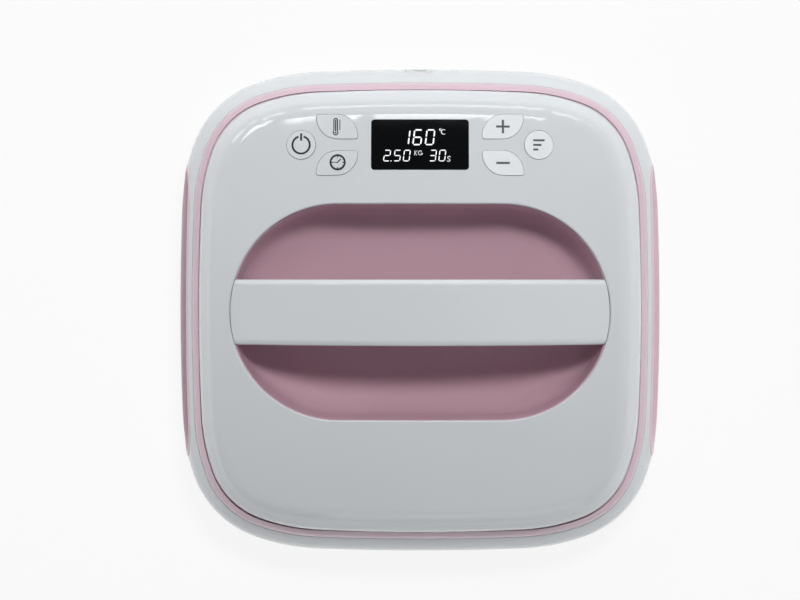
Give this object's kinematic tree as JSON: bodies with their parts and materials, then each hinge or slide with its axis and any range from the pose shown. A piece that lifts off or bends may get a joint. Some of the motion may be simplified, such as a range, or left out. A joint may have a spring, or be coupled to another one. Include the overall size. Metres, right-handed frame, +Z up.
{
  "type": "handheld heat press",
  "caption": "Handheld heat press: rounded-square body with an arched bar handle over a recessed bowl, finger scoops at both sides, display, push buttons and a flat hot plate.",
  "frame": {"origin": "centre of the heat plate's flat pressing face, which is also the middle of the underside", "axes": "+Z up through the handle, +Y to the rear edge where the display and the cord gland are, +X to the right"},
  "size_m": [0.2802, 0.28, 0.102],
  "materials": {
    "gloss_white_abs": "moulded white ABS, polished",
    "button_white": "moulded white ABS, fine gloss",
    "pink_abs": "moulded dusty pink ABS, satin",
    "pink_grip": "dusty pink soft grip lining, satin",
    "display_acrylic": "smoked black acrylic window, polished",
    "display_cell": "black display cell in a moulded frame",
    "natural_nylon": "natural nylon, moulded",
    "board_green": "glass-epoxy circuit board with green solder mask",
    "black_plastic": "black moulded plastic",
    "transformer_core": "laminated core with taped windings",
    "capacitor_sleeve": "dark sleeve over an aluminium can",
    "relay_case": "pale moulded case",
    "bare_aluminium": "extruded aluminium",
    "fuse_glass": "glass fuse in clips",
    "terminal_green": "green terminal block",
    "black_heatproof_plastic": "glass-filled heatproof nylon, fine texture",
    "coated_aluminium": "cast aluminium with a grey non-stick coating",
    "heater_sheath": "drawn stainless sheath",
    "mineral_wool": "pressed mineral wool",
    "shield_steel": "zinc-plated sheet steel",
    "cutoff_ceramic": "ceramic thermostat body",
    "cell_alloy": "machined aluminium bar",
    "screw_steel": "zinc-plated steel screws",
    "grey_rubber": "light grey moulded rubber",
    "ribbon_pvc": "grey flat cable"
  },
  "bodies": {
    "press_body": {"board_screws": "screw_steel", "bowl_screws": "screw_steel", "button_guide": "natural_nylon", "buzzer": "black_plastic", "chassis_tray": "black_heatproof_plastic", "control_board": "board_green", "cord_clamp": "natural_nylon", "cord_gland": "grey_rubber", "display_module": "display_cell", "display_window": "display_acrylic", "filter_capacitor": "capacitor_sleeve", "fuse": "fuse_glass", "handle_bottom_shell": "gloss_white_abs", "handle_bowl": "pink_abs", "handle_screws": "screw_steel", "handle_top_shell": "gloss_white_abs", "heat_plate": "coated_aluminium", "heat_shield": "shield_steel", "heating_element": "heater_sheath", "insulation_pad": "mineral_wool", "load_cells": "cell_alloy", "lower_shell_front": "gloss_white_abs", "lower_shell_rear": "gloss_white_abs", "plate_screws": "screw_steel", "plate_skirt": "black_heatproof_plastic", "plate_standoffs": "shield_steel", "power_board": "board_green", "relay": "relay_case", "ribbon_cable": "ribbon_pvc", "ribbon_connectors": "relay_case", "side_grip_left": "pink_grip", "side_grip_right": "pink_grip", "side_panel_left": "gloss_white_abs", "side_panel_right": "gloss_white_abs", "tact_switches": "black_plastic", "temperature_sensor": "heater_sheath", "terminal_block": "terminal_green", "thermal_cutoff": "cutoff_ceramic", "top_cover": "gloss_white_abs", "transformer": "transformer_core", "triac_heatsink": "bare_aluminium", "trim_ring": "pink_abs"},
    "power_button": {"power_button": "button_white"},
    "mode_button": {"mode_button": "button_white"},
    "temperature_button": {"temperature_button": "button_white"},
    "timer_button": {"timer_button": "button_white"},
    "plus_button": {"plus_button": "button_white"},
    "minus_button": {"minus_button": "button_white"}
  },
  "joints": [
    {"name": "power_button_press", "type": "slide", "parent": "press_body", "child": "power_button", "axis": [0, 0, -1], "range_m": [0, 0.0006], "stiffness_N_per_m": 600, "springref_m": -0.0005},
    {"name": "mode_button_press", "type": "slide", "parent": "press_body", "child": "mode_button", "axis": [0, 0, -1], "range_m": [0, 0.0006], "stiffness_N_per_m": 600, "springref_m": -0.0005},
    {"name": "temperature_button_press", "type": "slide", "parent": "press_body", "child": "temperature_button", "axis": [0, 0, -1], "range_m": [0, 0.0006], "stiffness_N_per_m": 600, "springref_m": -0.0005},
    {"name": "timer_button_press", "type": "slide", "parent": "press_body", "child": "timer_button", "axis": [0, 0, -1], "range_m": [0, 0.0006], "stiffness_N_per_m": 600, "springref_m": -0.0005},
    {"name": "plus_button_press", "type": "slide", "parent": "press_body", "child": "plus_button", "axis": [0, 0, -1], "range_m": [0, 0.0006], "stiffness_N_per_m": 600, "springref_m": -0.0005},
    {"name": "minus_button_press", "type": "slide", "parent": "press_body", "child": "minus_button", "axis": [0, 0, -1], "range_m": [0, 0.0006], "stiffness_N_per_m": 600, "springref_m": -0.0005}
  ]
}
